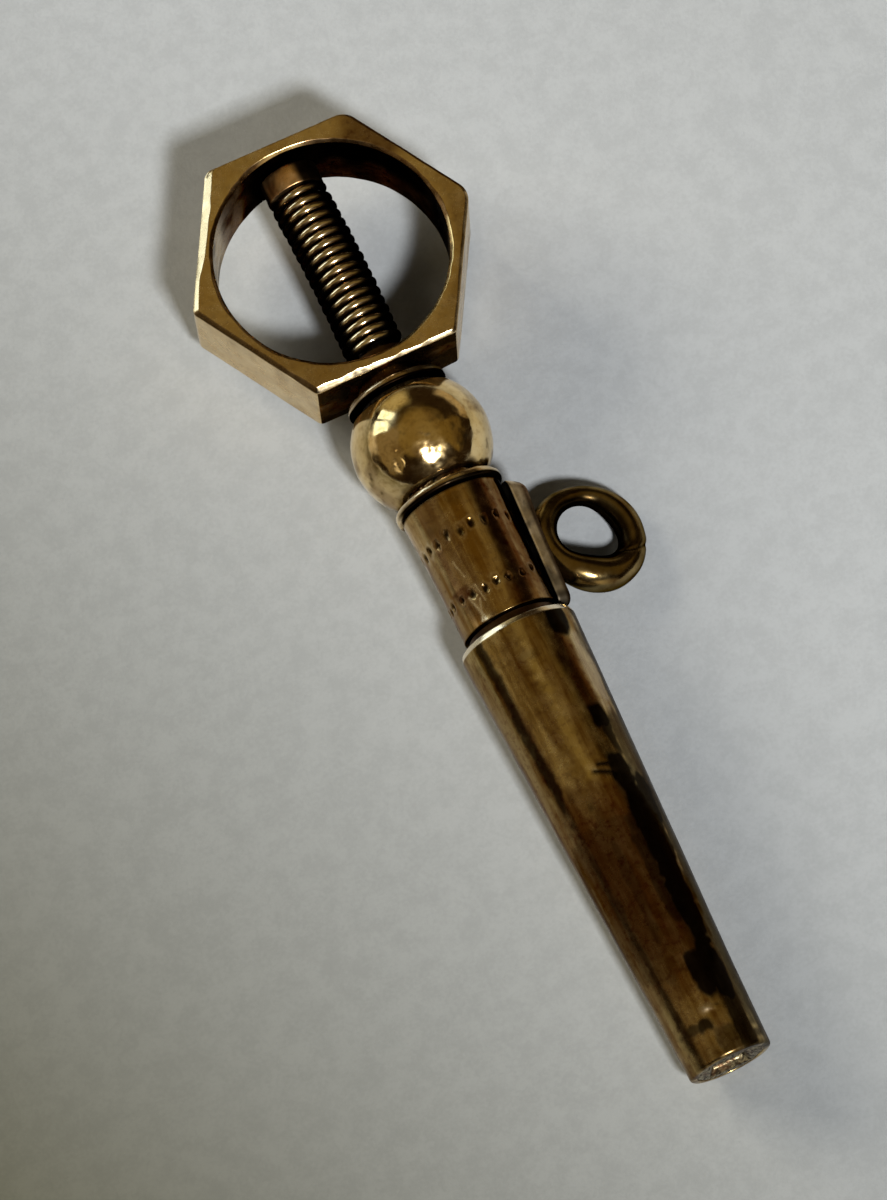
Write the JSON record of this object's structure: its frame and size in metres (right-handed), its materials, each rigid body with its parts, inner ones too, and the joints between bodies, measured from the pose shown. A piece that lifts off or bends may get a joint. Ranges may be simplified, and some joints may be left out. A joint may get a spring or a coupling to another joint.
{
  "type": "ratchet pocket watch key",
  "caption": "Pocket watch winding key: hollow tapering barrel with a square socket, chain ring on a swivelling sleeve, ball, and a sprung one-way ratchet under a six-sided bow.",
  "frame": {"origin": "centre of the square socket's mouth, at the tip of the barrel", "axes": "+Y along the key from the tip to the bow, +Z out of the bow's upper flat face, +X towards the side the chain ring hangs on at rest"},
  "size_m": [0.0155, 0.05, 0.0068],
  "materials": {
    "bow_gold": "satin faces with worn bright edges",
    "collar_gold": "worn polish",
    "ball_gold": "polished, dented, with solder in the seam",
    "sleeve_gold": "worn polish with rows of punched dots",
    "ring_gold": "worn polish",
    "barrel_gold": "worn polish with fine scratches along it",
    "spring_gold": "drawn wire",
    "nut_gold": "dull turned",
    "inner_brass": "dull turned",
    "socket_steel": "pitted and tarnished",
    "inner_steel": "dark turned steel"
  },
  "bodies": {
    "barrel": {"barrel_shell": "barrel_gold", "barrel_cap": "inner_brass", "socket_pipe": "socket_steel", "spindle": "inner_steel", "sleeve_journal": "inner_brass", "sleeve_washer": "inner_brass", "ball_flange": "ball_gold", "ball": "ball_gold", "ball_core": "inner_brass", "ball_ratchet": "inner_steel", "spring_nut": "nut_gold", "ratchet_spring": "spring_gold"},
    "spring_seat": {"spring_seat": "inner_steel"},
    "bow": {"bow_frame": "bow_gold", "bow_collar": "collar_gold", "bow_bush": "inner_brass", "bow_ratchet": "inner_steel"},
    "sleeve": {"swivel_sleeve": "sleeve_gold", "bail_plate": "sleeve_gold", "bail_ring": "ring_gold"}
  },
  "joints": [
    {"name": "ratchet_lift", "type": "slide", "parent": "barrel", "child": "spring_seat", "axis": [0, 1, 0], "range_m": [0, 0.00035], "stiffness_N_per_m": 200, "springref_m": -0.002, "deforming": ["ratchet_spring"]},
    {"name": "bow_turn", "type": "hinge", "parent": "spring_seat", "child": "bow", "pos_m": [0, 0.04365, 0], "axis": [0, 1, 0], "continuous": true},
    {"name": "sleeve_turn", "type": "hinge", "parent": "barrel", "child": "sleeve", "pos_m": [0, 0.02655, 0], "axis": [0, 1, 0], "continuous": true}
  ]
}
